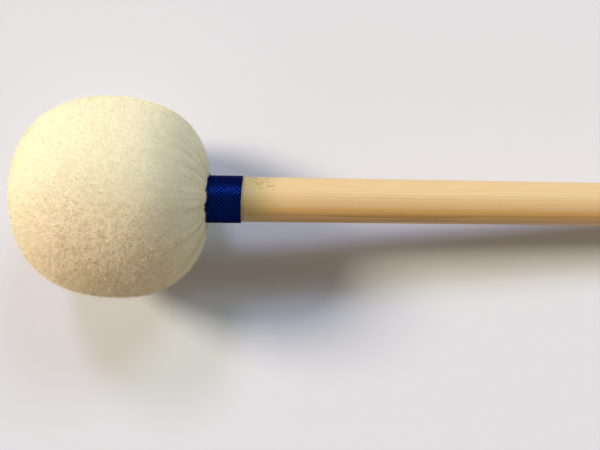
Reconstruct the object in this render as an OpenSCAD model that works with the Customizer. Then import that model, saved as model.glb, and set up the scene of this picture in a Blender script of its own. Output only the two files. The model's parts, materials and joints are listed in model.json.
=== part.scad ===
// Bass drum mallet: a gathered fleece ball over wound felt on a turned wooden shaft.
// It lies as it would on a table, on the ball and on the end of the shaft.
// Pieces are drawn round the Z axis, with Z = 0 at the ball's widest section and
// Z rising towards the butt, and lay_down() turns and lowers them to the table.

/* [Head] */
// Diameter of the fleece ball at its widest section
head_d = 78; // [64:1:94]
// From the widest section to the front of the ball
nose_len = 38.5; // [34:0.5:46]
// From the widest section to the back of the ball
back_len = 36; // [32:0.5:43]
// Fullness of the front outline, where 2 is an ellipse and more is squarer
nose_fullness = 2.4; // [2:0.1:3]
// Fullness of the back outline
back_fullness = 2.5; // [2:0.1:3]
// Thickness of the fleece, its pile and backing together
fleece_t = 8; // [6.5:0.1:10]
// Depth of the flat where the pile is pressed against the table
rest_depth = 0.5; // [0.4:0.1:1]
// Number of gathers round the back of the ball
gathers = 24; // [12:1:32]
// Depth of the deepest gather, at the neck
gather_depth = 0.9; // [0.2:0.1:1.2]
// How far the back of the ball is drawn in round the neck
mouth_dip = 1.3; // [0.5:0.1:2]
// Width of the drawn-in ring round the neck
mouth_w = 5; // [3:0.5:8]

/* [Shaft] */
// Length of the whole mallet, from the front of the ball to the butt
overall_len = 380; // [300:1:460]
// Diameter of the shaft
shaft_d = 18; // [15:0.1:22]
// Rounding of the butt's edge
butt_round = 4; // [2:0.5:5]
// Diameter of the tenon inside the core
tenon_d = 12; // [10:0.1:14.5]
// Chamfer on the end of the tenon
tenon_chamfer = 1; // [0.5:0.1:1.5]

/* [Core] */
// Diameter of the wooden core
core_d = 30; // [25:0.5:36]
// Length of the core along the shaft
core_len = 34; // [28:0.5:41]
// Rounding of the core's edges
core_round = 2; // [1:0.5:4]
// Diameter of the dowel pin through the core and the tenon
pin_d = 4; // [3:0.1:5]

/* [Felt] */
// Thickness of the firm felt strip that is wound on the core
firm_t = 3.7; // [3:0.1:4.5]
// Turns of the firm felt strip
firm_turns = 2; // [1:1:3]
// Thickness of the soft felt strip that is wound over it
soft_t = 4; // [3:0.1:5]
// Thickness of a strip's two ends, where they are skived
skive_t = 0.4; // [0.3:0.1:0.8]

/* [Neck binding] */
// Width of the satin ribbon
ribbon_w = 15; // [12:0.1:18]
// Thickness of the ribbon
ribbon_t = 0.22; // [0.12:0.01:0.28]
// Turns of the ribbon
ribbon_turns = 2.1; // [1.1:0.1:3.1]
// Slant of the ribbon's outer edge, in degrees
ribbon_slant = 3; // [0:1:8]
// How much of the ribbon the fleece hides
ribbon_tuck = 1.6; // [1:0.1:3]
// Depth of the seat that is turned in the shaft for the ribbon
seat_depth = 0.2; // [0.2:0.01:0.4]
// How far the ribbon lies on its seat past the neck
seat_lap = 1; // [0.5:0.1:2]
// Thickness of the fleece's hem under the ribbon
hem_t = 0.5; // [0.4:0.05:0.8]
// Diameter of the thread that is wound round the hem
thread_d = 0.5; // [0.4:0.05:0.6]
// Step from one turn of the thread to the next
thread_pitch = 1.05; // [1:0.01:1.2]

/* [Clearances] */
// Gap between pieces that are glued or bound together
glue_gap = 0.05; // [0.03:0.01:0.1]
// Gap on each side of the thread
thread_gap = 0.1; // [0.1:0.01:0.2]
// Gap between two layers of felt
felt_gap = 0.12; // [0.1:0.01:0.2]
// Gap between two layers of the ribbon
ribbon_gap = 0.03; // [0.02:0.01:0.05]
// Gap between the fleece's backing and the felt
cover_gap = 0.3; // [0.2:0.05:0.4]
// Gap between the fleece's mouth and the ribbon
mouth_gap = 0.15; // [0.1:0.05:0.3]
// Room between the ribbon's outer edge and the shaft's full diameter
seat_room = 0.3; // [0.2:0.05:0.6]
// Room between the hem's end and the shoulder of the neck
hem_room = 0.5; // [0.3:0.1:1]
// Room between the thread's ends and those of the hem and the ribbon
thread_room = 1; // [0.5:0.1:1.5]

/* [Hidden] */
$fn = 96;

// Radii and places along the shaft
head_r = head_d / 2;
shaft_r = shaft_d / 2;
core_r = core_d / 2;
core_half = core_len / 2;
tenon_r = tenon_d / 2;
bore_r = tenon_r + glue_gap;
pin_bore_r = pin_d / 2 + glue_gap;
butt_end = overall_len - nose_len;
over = 1; // how far a cutting or joining shape runs on past what it meets

// The felt ball fills the fleece's hollow
felt_r = head_r - fleece_t - cover_gap;
felt_nose = nose_len - fleece_t - cover_gap;
felt_back = back_len - fleece_t - cover_gap;
firm_r = core_r + felt_gap;
soft_r = firm_r + firm_turns * firm_t + felt_gap;
soft_turns = (felt_r - soft_r) / soft_t;

// The ribbon lies in a shallow seat, and the shaft's neck is turned down further,
// by what lies between it and the ribbon
seat_r = shaft_r - seat_depth;
neck_r = seat_r - 2 * glue_gap - hem_t - thread_gap - thread_d;
hem_r = neck_r + glue_gap;
hem_top = hem_r + hem_t;
thread_r = hem_top + thread_gap + thread_d / 2;
ribbon_r = seat_r + glue_gap;
ribbon_pitch = ribbon_t + ribbon_gap;
ribbon_top = ribbon_r + ribbon_turns * ribbon_pitch + ribbon_t;
pocket_r = ribbon_top + mouth_gap;
mouth = back_outline(mouth_angle(pocket_r)).y - mouth_dip;
ribbon_start = mouth - ribbon_tuck;
ribbon_end = ribbon_start + ribbon_w;
neck_start = back_len - fleece_t;
slant_reach = ribbon_top * tan(ribbon_slant);
neck_end = ribbon_end - slant_reach - seat_lap;
seat_end = ribbon_end + slant_reach + seat_room;
hem_end = neck_end - hem_room;

// The thread winds over the hem, as many turns as there is room for
thread_len = hem_end - ribbon_start - 2 * thread_room;
thread_turns = floor(thread_len / thread_pitch);
thread_start = (hem_end + ribbon_start - thread_turns * thread_pitch) / 2;

// Facets of the gathered cover: each gather has a crest, a dip and the two slopes between
dips = [0, 0.6, 1, 0.6];
around = len(dips) * gathers;
nose_rings = 10;
back_rings = 12;

// The ball's outline is two quarters of a superellipse: [radius, place] at an angle,
// with 90 degrees at the widest section and 0 at the pole
function quarter(r, reach, fullness, angle) =
    [r * pow(sin(angle), 2 / fullness), reach * pow(cos(angle), 2 / fullness)];
function nose_outline(angle) = quarter(head_r, -nose_len, nose_fullness, angle);
function back_outline(angle) = quarter(head_r, back_len, back_fullness, angle);
function mouth_angle(r) = asin(pow(r / head_r, back_fullness / 2));

// How far a quarter reaches in a direction, from its centre
function reach_of(r, reach, fullness, across, along) =
    let (m = fullness / (fullness - 1))
    pow(pow(r * across, m) + pow(reach * along, m), 1 / m);

// The tilt at which the pressed ball and the butt's rounded edge both touch the table
function ball_drop(angle) =
    reach_of(head_r, back_len, back_fullness, cos(angle), sin(angle)) - rest_depth;
function butt_tilt(drop) =
    let (across = shaft_r - butt_round, along = butt_end - butt_round)
    asin((drop - butt_round) / norm([across, along])) - atan2(across, along);
function settled(angle, steps) =
    steps == 0 ? angle : settled(butt_tilt(ball_drop(angle)), steps - 1);
tilt = settled(0, 5);
rise = ball_drop(tilt);
front_reach = reach_of(head_r, nose_len, nose_fullness, sin(tilt), cos(tilt));
butt_reach = (butt_end - butt_round) * cos(tilt) + (shaft_r - butt_round) * sin(tilt) + butt_round;
slide = (front_reach - butt_reach) / 2;

module lay_down() {
    translate([slide, 0, rise])
        rotate([0, 90 + tilt, 0])
            children();
}

// Half outline of a ball, from pole to pole, for a revolve
module ball_half(r, nose, back) {
    steps = 14;
    polygon(concat(
        [for (i = [0 : steps]) quarter(r, -nose, nose_fullness, 90 * i / steps)],
        [for (i = [steps - 1 : -1 : 0]) quarter(r, back, back_fullness, 90 * i / steps)]));
}

module felt_ball_half() {
    ball_half(felt_r, felt_nose, felt_back);
}

// Half outline of a rod between two places, with a rounded or square edge
module rod_half(r, from, to) {
    translate([0, from])
        square([r, to - from]);
}

// A thin slit that winds out from one radius to another and leaves straight through both
module spiral_slit(from_r, to_r, pitch, width) {
    steps_a_turn = 60;
    first_r = from_r + skive_t;
    steps = round(steps_a_turn * (to_r - skive_t - first_r) / pitch);
    last_r = first_r + pitch * steps / steps_a_turn;
    function at(i, r) = [r * cos(360 * i / steps_a_turn), r * sin(360 * i / steps_a_turn)];
    polygon(concat(
        [for (i = [0 : steps]) at(i, first_r + pitch * i / steps_a_turn)],
        [for (i = [steps : -1 : 0]) at(i, first_r + pitch * i / steps_a_turn - width)]));
    translate([from_r - over, -width / 2])
        square([skive_t + over, width]);
    rotate(360 * steps / steps_a_turn)
        translate([last_r - width, -width / 2])
            square([to_r + over - last_r + width, width]);
}

module shaft() {
    color([0.86, 0.73, 0.52])
    lay_down()
    difference() {
        rotate_extrude() {
            rod_half(tenon_r - tenon_chamfer, -core_half, -core_half + tenon_chamfer);
            polygon([[0, -core_half], [tenon_r - tenon_chamfer, -core_half],
                     [tenon_r, -core_half + tenon_chamfer], [0, -core_half + tenon_chamfer]]);
            rod_half(tenon_r, -core_half + tenon_chamfer, core_half + over);
            rod_half(shaft_r, core_half, neck_start);
            rod_half(neck_r, neck_start - over, neck_end + over);
            rod_half(seat_r, neck_end, seat_end + over);
            polygon([[0, seat_end], [seat_r, seat_end], [shaft_r, seat_end + seat_depth],
                     [shaft_r, seat_end + seat_depth + over], [0, seat_end + seat_depth + over]]);
            rod_half(shaft_r, seat_end + seat_depth, butt_end - butt_round);
            rod_half(shaft_r - butt_round, butt_end - 2 * butt_round, butt_end);
            translate([shaft_r - butt_round, butt_end - butt_round])
                intersection() {
                    circle(r = butt_round);
                    translate([-butt_round / 2, -butt_round / 2])
                        square(2 * butt_round);
                }
        }
        pin_hole();
    }
}

module pin_hole() {
    rotate([90, 0, 0])
        cylinder(r = pin_bore_r, h = core_d + 2 * over, center = true);
}

module head_core() {
    color([0.78, 0.62, 0.42])
    lay_down()
    difference() {
        rotate_extrude()
            difference() {
                union() {
                    rod_half(core_r - core_round, -core_half, core_half);
                    rod_half(core_r, -core_half + core_round, core_half - core_round);
                    for (side = [-1, 1])
                        translate([core_r - core_round, side * (core_half - core_round)])
                            circle(r = core_round);
                }
                rod_half(bore_r, -core_half - over, core_half + over);
            }
        pin_hole();
    }
}

// The dowel's ends are trimmed to the core's round side
module core_pin() {
    color([0.66, 0.48, 0.3])
    lay_down()
    intersection() {
        rotate([90, 0, 0])
            cylinder(d = pin_d, h = core_d, center = true);
        cylinder(r = core_r, h = core_len, center = true);
    }
}

module felt_front_pad() {
    color([0.9, 0.89, 0.84])
    lay_down()
    rotate_extrude()
        intersection() {
            felt_ball_half();
            rod_half(core_r, -felt_nose - over, -core_half);
        }
}

module felt_rear_collar() {
    color([0.9, 0.89, 0.84])
    lay_down()
    rotate_extrude()
        difference() {
            intersection() {
                felt_ball_half();
                rod_half(core_r, core_half, felt_back + over);
            }
            rod_half(shaft_r + glue_gap, core_half - over, felt_back + 2 * over);
        }
}

// A felt strip wound on a rod: a thick sleeve, parted by one slit that winds outwards.
// Its two ends are skived thin, so that the layers lie without a step.
module felt_winding(from_r, to_r, turns) {
    difference() {
        rotate_extrude()
            difference() {
                intersection() {
                    felt_ball_half();
                    rod_half(to_r, -felt_nose - over, felt_back + over);
                }
                rod_half(from_r, -felt_nose - 2 * over, felt_back + 2 * over);
            }
        translate([0, 0, -felt_nose - over])
            linear_extrude(felt_nose + felt_back + 2 * over)
                spiral_slit(from_r, to_r, (to_r - from_r) / turns, felt_gap);
    }
}

module felt_wrap_inner() {
    color([0.72, 0.7, 0.66])
    lay_down()
        felt_winding(firm_r, soft_r - felt_gap, firm_turns);
}

module felt_wrap_outer() {
    color([0.93, 0.92, 0.88])
    lay_down()
        felt_winding(soft_r, felt_r, soft_turns);
}

// One ring of the cover's skin. Behind the widest section it dips into the gathers,
// along its own normal, and near the neck it is drawn in.
function gather_strength(fold) = 0.6 + 0.4 * sin(137.5 * fold);
function back_normal(p) =
    let (n = [pow(p.x / head_r, back_fullness - 1) / head_r,
              pow(p.y / back_len, back_fullness - 1) / back_len])
    n / norm(n);
function drawn_in(p) =
    mouth_dip * pow(max(0, 1 - (p.x - pocket_r) / mouth_w), 2);
function nose_ring(p) =
    [for (j = [0 : around - 1]) [p.x * cos(360 * j / around), p.x * sin(360 * j / around), p.y]];
function back_ring(p) =
    let (n = back_normal(p), share = pow(p.y / back_len, 2))
    [for (j = [0 : around - 1])
        let (dip = gather_depth * share * dips[j % len(dips)] * gather_strength(floor(j / len(dips))),
             r = p.x - dip * n.x,
             a = 360 * j / around)
        [r * cos(a), r * sin(a), p.y - dip * n.y - drawn_in(p)]];

module gathered_ball() {
    last = mouth_angle(hem_top);
    rings = concat(
        [for (i = [1 : nose_rings]) nose_ring(nose_outline(90 * i / nose_rings))],
        [for (i = [1 : back_rings]) back_ring(back_outline(90 - (90 - last) * i / back_rings))]);
    count = len(rings);
    nose_pole = count * around;
    back_pole = nose_pole + 1;
    points = concat(
        [for (ring = rings) each ring],
        [[0, 0, -nose_len], [0, 0, back_outline(last).y - mouth_dip]]);
    faces = concat(
        [for (j = [0 : around - 1]) [nose_pole, j, (j + 1) % around]],
        [for (i = [0 : count - 2], j = [0 : around - 1])
            each let (a = i * around + j, b = i * around + (j + 1) % around)
            [[a, a + around, b], [b, a + around, b + around]]],
        [for (j = [0 : around - 1])
            [back_pole, (count - 1) * around + (j + 1) % around, (count - 1) * around + j]]);
    polyhedron(points, faces);
}

module fleece_cover() {
    color([0.97, 0.95, 0.86])
    difference() {
        lay_down()
        difference() {
            union() {
                difference() {
                    gathered_ball();
                    translate([0, 0, ribbon_start - glue_gap])
                        cylinder(r = pocket_r, h = back_len);
                }
                translate([0, 0, neck_start + over])
                    cylinder(r = hem_top, h = hem_end - neck_start - over);
            }
            rotate_extrude()
                ball_half(felt_r + cover_gap, felt_nose + cover_gap, felt_back + cover_gap);
            translate([0, 0, neck_start - 2 * over])
                cylinder(r = hem_r, h = ribbon_end);
            translate([0, 0, neck_start + glue_gap - core_half])
                cylinder(r = shaft_r + glue_gap, h = core_half);
        }
        translate([slide, 0, -head_r])
            cube([head_d, head_d, head_d], center = true);
    }
}

// The thread is one unbroken tube that winds along the hem
thread_steps = 24;
thread_sides = 6;
thread_rings = thread_turns * thread_steps;
function thread_point(i) =
    let (a = 360 * i / thread_steps)
    [thread_r * cos(a), thread_r * sin(a), thread_start + thread_pitch * i / thread_steps];
function thread_ring(i) =
    let (a = 360 * i / thread_steps,
         out = [cos(a), sin(a), 0],
         forward = [-sin(a) * thread_r, cos(a) * thread_r, thread_pitch / (2 * PI)],
         side = cross(forward / norm(forward), out))
    [for (j = [0 : thread_sides - 1])
        let (b = 360 * j / thread_sides)
        thread_point(i) + thread_d / 2 * (cos(b) * out + sin(b) * side)];
thread_apart = min([for (i = [0 : thread_rings - thread_steps], j = [-3 : 3])
    norm(thread_point(i + thread_steps + min(j, thread_rings - thread_steps - i)) - thread_point(i))]);
echo(str("Least gap between two turns of the thread: ", thread_apart - thread_d, " mm"));

module neck_thread() {
    points = [for (i = [0 : thread_rings]) each thread_ring(i)];
    last = thread_rings * thread_sides;
    faces = concat(
        [[for (j = [0 : thread_sides - 1]) j]],
        [for (i = [0 : thread_rings - 1], j = [0 : thread_sides - 1])
            each let (a = i * thread_sides + j, b = i * thread_sides + (j + 1) % thread_sides)
            [[a, a + thread_sides, b], [b, a + thread_sides, b + thread_sides]]],
        [[for (j = [thread_sides - 1 : -1 : 0]) last + j]]);
    color([0.92, 0.9, 0.82])
    lay_down()
        polyhedron(points, faces);
}

// The ribbon is one strip, wound layer on layer, with its end on the underside
module ribbon_strip() {
    steps_a_turn = 48;
    steps = round(ribbon_turns * steps_a_turn);
    function at(i, r) = [r * cos(360 * i / steps_a_turn), r * sin(360 * i / steps_a_turn)];
    polygon(concat(
        [for (i = [0 : steps]) at(i, ribbon_r + ribbon_pitch * i / steps_a_turn)],
        [for (i = [steps : -1 : 0]) at(i, ribbon_r + ribbon_t + ribbon_pitch * i / steps_a_turn)]));
}

module neck_ribbon() {
    color([0.03, 0.12, 0.5])
    lay_down()
    difference() {
        translate([0, 0, ribbon_start])
            linear_extrude(ribbon_w + 2 * slant_reach)
                ribbon_strip();
        translate([0, 0, ribbon_end])
            rotate([ribbon_slant, 0, 0])
                translate([-head_r, -head_r, 0])
                    cube([head_d, head_d, ribbon_w]);
    }
}

shaft();
head_core();
core_pin();
felt_front_pad();
felt_rear_collar();
felt_wrap_inner();
felt_wrap_outer();
fleece_cover();
neck_thread();
neck_ribbon();
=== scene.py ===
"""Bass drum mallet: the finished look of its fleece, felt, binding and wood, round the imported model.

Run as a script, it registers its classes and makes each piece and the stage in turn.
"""

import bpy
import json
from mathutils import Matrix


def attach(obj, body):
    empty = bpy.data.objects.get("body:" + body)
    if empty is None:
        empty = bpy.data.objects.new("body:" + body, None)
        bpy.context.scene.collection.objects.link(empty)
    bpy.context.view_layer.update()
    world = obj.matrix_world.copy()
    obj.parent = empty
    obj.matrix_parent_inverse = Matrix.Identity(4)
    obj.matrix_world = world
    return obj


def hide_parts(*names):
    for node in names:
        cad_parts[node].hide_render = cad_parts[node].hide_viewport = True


bl_info = {
    "name": "Bass Drum Mallet",
    "version": (1, 0, 0),
    "blender": (4, 5, 0),
    "location": "View3D > Sidebar > Mallet",
    "description": "Builds the fleece, felt, binding and wood of a bass drum mallet",
    "category": "Object",
}

import json
import math

import bmesh
import bpy
from bpy.props import (
    FloatProperty,
    FloatVectorProperty,
    IntProperty,
    PointerProperty,
)
from mathutils import Matrix, Vector, noise

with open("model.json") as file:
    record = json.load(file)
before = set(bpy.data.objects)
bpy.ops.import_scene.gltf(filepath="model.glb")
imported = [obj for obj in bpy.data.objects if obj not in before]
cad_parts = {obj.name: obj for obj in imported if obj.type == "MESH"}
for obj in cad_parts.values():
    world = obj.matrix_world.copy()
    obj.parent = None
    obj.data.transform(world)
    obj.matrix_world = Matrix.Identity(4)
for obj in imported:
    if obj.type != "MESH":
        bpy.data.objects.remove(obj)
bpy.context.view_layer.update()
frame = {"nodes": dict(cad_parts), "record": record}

MM = 0.001
TURN = 2 * math.pi

# The mallet's own axes: Z runs along the shaft to the butt, X points down and Y across.
# Z = 0 is the ball's widest section.
BUTT = next(m for m in frame["record"]["mounts"] if m["name"] == "butt_face")
ALONG = Vector(BUTT["axis"]).normalized()
WIDEST_TO_BUTT = 0.3415
CENTRE = Vector(BUTT["pos_m"]) - ALONG * WIDEST_TO_BUTT
TILT = math.asin(-ALONG.z)
LAID = Matrix.Translation(CENTRE) @ Matrix.Rotation(math.pi / 2 + TILT, 4, "Y")

# Places along the shaft, and radii, as in the construction model
SHAFT_R = 0.009
GLUE = 0.00005
NECK_START = 0.028
HEM_END = 0.04564
HEM_INNER = 0.00765
HEM_OUTER = 0.00815
RIBBON_START = 0.03265
RIBBON_END = 0.04765
RIBBON_INNER = 0.00885
POCKET_R = 0.009745
MOUTH = 0.03425
THREAD_R = 0.0085
THREAD_START = 0.033895
CORE_R = 0.015
CORE_HALF = 0.017

# Where the folds meet on the shaft's line, and the side of the ball on which warm shade and dark flecks of
# shadow are painted and the pile is rougher
FOLDS_MEET = 0.026
SHADED_SIDE = (0.0, -0.7, 0.71)

# The felt ball's radius and its reach to the front and to the back; each strip's inner radius, outer radius
# and turns; and the fleece's area, in square metres
FELT_R = 0.0307
FELT_NOSE = 0.0302
FELT_BACK = 0.0277
FIRM_STRIP = (0.01512, 0.02252, 2.0)
SOFT_STRIP = (0.02264, FELT_R, 2.015)
FLEECE_AREA = 0.0184

# Where the camera stands over the mallet, and how far it is turned
EYE = (-0.0798, -0.01)
EYE_TURN = 0.0103


# The kinds of setting that the sidebar can change

def length_field(name, description, default, low, high):
    """A length in metres."""
    return FloatProperty(name=name, description=description, default=default, min=low, max=high,
                         unit="LENGTH")


def number_field(name, description, default, low, high, **kind):
    """A plain number, an angle or a lens."""
    return FloatProperty(name=name, description=description, default=default, min=low, max=high, **kind)


def count_field(name, description, default, low, high):
    """A whole number."""
    return IntProperty(name=name, description=description, default=default, min=low, max=high)


def colour_field(name, description, default):
    """A colour."""
    return FloatVectorProperty(name=name, description=description, default=default, subtype="COLOR", size=3,
                               min=0, max=1)


class HeadLook(bpy.types.PropertyGroup):
    """The fleece ball and what it is filled with."""

    radius: length_field("Radius", "Radius of the ball at its widest section", 0.039, 0.03, 0.05)
    nose: length_field("Nose", "From the widest section to the front of the ball", 0.0385, 0.03, 0.05)
    back: length_field("Back", "From the widest section to the back of the ball", 0.036, 0.03, 0.05)
    nose_fullness: number_field("Nose fullness", "2 is an ellipse, and more is squarer", 2.4, 2, 3)
    back_fullness: number_field("Back fullness", "2 is an ellipse, and more is squarer", 2.5, 2, 3)
    thickness: length_field("Fleece thickness", "Pile and backing together", 0.008, 0.006, 0.01)
    folds: count_field("Folds", "Folds in which the cover is gathered at the neck", 24, 12, 36)
    fold_depth: length_field("Fold depth", "Depth of the deepest fold, at the neck", 0.0011, 0, 0.002)
    swell: length_field("Swell", "How far Cloth blows the cover up at its widest section",
                        0.00035, 0, 0.0006)
    lean: length_field("Lean", "How far the front of the ball lies off the shaft's line",
                       0.0002, -0.003, 0.003)
    turn: number_field("Turn", "How far the ball is turned against the shaft",
                       math.radians(2.2), -0.1, 0.1, subtype="ANGLE")
    nap_height: length_field("Nap height", "How far the nap stands out from its backing",
                             0.0007, 0.0, 0.003)
    nap_length: length_field("Nap length", "Length of a hair of the nap", 0.0013, 0.0005, 0.004)
    nap_width: length_field("Nap width", "Width of a hair at its root", 0.00007, 0.00003, 0.0003)
    nap_hairs: count_field("Nap hairs", "Hairs in each layer of the nap", 62000, 1000, 66000)
    colour: colour_field("Fleece colour", "Colour of the clean pile", (0.93, 0.87, 0.66))
    # Warm shade painted on one side of the pile
    painted_warm_shade: colour_field("Painted warm shade", "Warm shade painted on one side of the pile", (0.98, 0.8, 0.57))
    shade: colour_field("Fleece shade", "Colour between the tufts", (0.5, 0.37, 0.22))
    felt: colour_field("Felt colour", "Colour of the felt inside", (0.72, 0.69, 0.6))


class BindingLook(bpy.types.PropertyGroup):
    """The ribbon and the thread at the neck."""

    ribbon_width: length_field("Ribbon width", "Width of the satin ribbon", 0.015, 0.012, 0.018)
    ribbon_thickness: length_field("Ribbon thickness", "Thickness of one layer", 0.00022, 0.0001, 0.0003)
    ribbon_step: length_field("Ribbon step", "From one layer of the ribbon to the next",
                              0.00025, 0.0001, 0.0004)
    ribbon_turns: number_field("Ribbon turns", "Turns of the ribbon round the neck", 2.1, 1, 4)
    ribbon_slant: number_field("Ribbon slant", "Slant of the ribbon's outer edge",
                               math.radians(6), 0, 0.2, subtype="ANGLE")
    thread_width: length_field("Thread width", "Diameter of the waxed thread", 0.0005, 0.0003, 0.0008)
    thread_step: length_field("Thread step", "From one turn of the thread to the next",
                              0.00105, 0.0008, 0.0015)
    thread_turns: count_field("Thread turns", "Turns of the thread round the hem", 10, 4, 14)
    ribbon: colour_field("Ribbon colour", "Colour of the satin", (0.0007, 0.0038, 0.035))
    thread: colour_field("Thread colour", "Colour of the waxed thread", (0.8, 0.74, 0.6))


class WoodLook(bpy.types.PropertyGroup):
    """The shaft, the core and the dowel pin."""

    pale: colour_field("Pale wood", "Colour of the shaft between its rings", (0.72, 0.515, 0.27))
    tan: colour_field("Tan wood", "Colour of the wood beside the heartwood", (0.75, 0.44, 0.185))
    honey: colour_field("Honey wood", "Colour of the heartwood", (0.73, 0.395, 0.1))
    core: colour_field("Core wood", "Colour of the turned core", (0.57, 0.37, 0.18))
    pin: colour_field("Pin wood", "Colour of the dowel pin", (0.4, 0.22, 0.09))
    # Painted shadow of the ball on the shaft beside the ribbon, with some grime
    shadow_and_grime: colour_field("Shadow and grime", "Colour of the shaft where it comes out of the ribbon", (0.46, 0.37, 0.15))
    scuff: colour_field("Scuffs", "Colour of the scuffs beside the ribbon", (0.33, 0.24, 0.08))
    ring_width: length_field("Ring width", "From one growth ring to the next", 0.0012, 0.0005, 0.005)
    heartwood: length_field("Heartwood", "Depth of the darker streak from the shaft's middle",
                            0.00776, 0, 0.009)


class StageLook(bpy.types.PropertyGroup):
    """The floor, the lights and the camera."""

    floor: colour_field("Floor colour", "Colour of the pale floor", (0.7, 0.7, 0.78))
    key: number_field("Key light", "Strength of the warm light from the upper left", 3.2, 0, 10)
    fill: number_field("Fill light", "Strength of the cool light from the upper right", 0.75, 0, 10)
    top: number_field("Top light", "Strength of the light that the satin shines with", 0.95, 0, 10)
    room: number_field("Room light", "Strength of the even light all round", 0.23, 0, 2)
    camera_height: length_field("Camera height", "Height of the camera above the floor", 0.291, 0.1, 2)
    lens: number_field("Lens", "Focal length of the camera", 38.58, 10, 200, unit="CAMERA")


# Small helpers for meshes

def meshed(name, bm):
    """A mesh from a finished shape."""
    mesh = bpy.data.meshes.new(name)
    bm.to_mesh(mesh)
    bm.free()
    return mesh


def placed(name, data):
    """A new object in the scene."""
    made = bpy.data.objects.new(name, data)
    bpy.context.scene.collection.objects.link(made)
    return made


def new_piece(name, bm):
    """Lays a shape that was drawn on the mallet's own axes down in its place, and makes it an object."""
    bm.transform(LAID)
    piece = placed(name, meshed(name, bm))
    piece.data.shade_smooth()
    return piece


def finish_piece(piece, slot, material, *stands_for):
    """Gives a piece its material, hangs it under the root body, and hides the model's pieces that it stands
    for.
    """
    if material is not None:
        piece.data.materials.clear()
        piece.data.materials.append(material)
    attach(piece, "root")
    if stands_for:
        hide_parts(*stands_for)
    return piece


def tidy(bm):
    """Merges doubled points and turns every face outwards."""
    bmesh.ops.remove_doubles(bm, verts=bm.verts, dist=1e-7)
    bmesh.ops.recalc_face_normals(bm, faces=bm.faces)


def at(radius, angle, along):
    """A point round the shaft, on the mallet's own axes."""
    return Vector((radius * math.cos(angle), radius * math.sin(angle), along))


def drawn_line(bm, points):
    """A chain of points and edges in the plane of the shaft, as [radius, place] pairs."""
    verts = [bm.verts.new((r, 0, s)) for r, s in points]
    edges = [bm.edges.new(pair) for pair in zip(verts, verts[1:])]
    return verts + edges


def turned(bm, points, steps):
    """Turns a chain of [radius, place] pairs round the shaft's line."""
    bmesh.ops.spin(bm, geom=drawn_line(bm, points), cent=(0, 0, 0), axis=(0, 0, 1), dvec=(0, 0, 0),
                   angle=TURN, steps=steps, use_merge=True, use_normal_flip=False, use_duplicate=False)


def swept(bm, sections):
    """Draws a closed loop of points on through a row of places, as one unbroken solid strand."""
    rows = iter(sections)
    ring = [bm.verts.new(p) for p in next(rows)]
    edges = [bm.edges.new(pair) for pair in zip(ring, ring[1:] + ring[:1])]
    bmesh.ops.contextual_create(bm, geom=edges)
    for row in rows:
        made = bmesh.ops.extrude_edge_only(bm, edges=edges)["geom"]
        edges = [g for g in made if isinstance(g, bmesh.types.BMEdge)]
        new = {g for g in made if isinstance(g, bmesh.types.BMVert)}
        ring = [next(e.other_vert(v) for e in v.link_edges if e.other_vert(v) in new) for v in ring]
        for vert, place in zip(ring, row):
            vert.co = place
    bmesh.ops.contextual_create(bm, geom=[e for e in edges if e.is_boundary])
    bmesh.ops.recalc_face_normals(bm, faces=bm.faces)


def quarter(radius, reach, fullness, angle):
    """A point of the ball's outline, as [radius, place]: 90 degrees is the widest section, 0 the pole."""
    return (radius * math.sin(angle) ** (2 / fullness), reach * math.cos(angle) ** (2 / fullness))


def ball_outline(radius, nose, back, look, mouth_r, count):
    """Evenly spaced points of a ball's outline, from its front pole to where its back meets the neck."""
    fine = [quarter(radius, -nose, look.nose_fullness, math.pi / 2 * i / 200) for i in range(201)]
    last = math.asin((mouth_r / radius) ** (look.back_fullness / 2))
    fine += [quarter(radius, back, look.back_fullness, math.pi / 2 - (math.pi / 2 - last) * i / 200)
             for i in range(1, 201)]
    fine = [Vector(p) for p in fine]
    reach = [0.0]
    for a, b in zip(fine, fine[1:]):
        reach.append(reach[-1] + (b - a).length)
    points, k = [], 0
    for i in range(count + 1):
        want = reach[-1] * i / count
        while k < len(reach) - 2 and reach[k + 1] < want:
            k += 1
        share = (want - reach[k]) / (reach[k + 1] - reach[k])
        points.append(tuple(fine[k].lerp(fine[k + 1], share)))
    return points


# Small helpers for materials and geometry nodes

def feed(tree, made, inputs):
    """Fills a node's inputs with values or with other nodes' outputs."""
    for name, value in inputs.items():
        if isinstance(value, bpy.types.NodeSocket):
            tree.links.new(value, made.inputs[name])
        else:
            made.inputs[name].default_value = value
    return made


def put(tree, kind, inputs=None, **settings):
    """Adds a node with its settings and its inputs."""
    made = tree.nodes.new(kind)
    for name, value in settings.items():
        setattr(made, name, value)
    return feed(tree, made, inputs or {})


def maths(tree, operation, a, b=0.0, clamp=False):
    """The output of a Math node."""
    return put(tree, "ShaderNodeMath", {0: a, 1: b}, operation=operation, use_clamp=clamp).outputs[0]


def times(tree, a, b):
    """One value times another."""
    return maths(tree, "MULTIPLY", a, b)


def plus(tree, a, b, clamp=False):
    """One value plus another."""
    return maths(tree, "ADD", a, b, clamp)


def minus(tree, a, b):
    """One value less another."""
    return maths(tree, "SUBTRACT", a, b)


def vectors(tree, operation, a, b=(0, 0, 0)):
    """The output of a Vector Math node."""
    made = put(tree, "ShaderNodeVectorMath", {0: a, 1: b}, operation=operation)
    return made.outputs["Value" if operation in ("DOT_PRODUCT", "DISTANCE", "LENGTH") else "Vector"]


def scaled(tree, a, by):
    """A vector made longer or shorter."""
    return put(tree, "ShaderNodeVectorMath", {0: a, "Scale": by}, operation="SCALE").outputs[0]


def axes(tree, place):
    """The parts X, Y and Z of a place."""
    return put(tree, "ShaderNodeSeparateXYZ", {"Vector": place}).outputs


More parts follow.
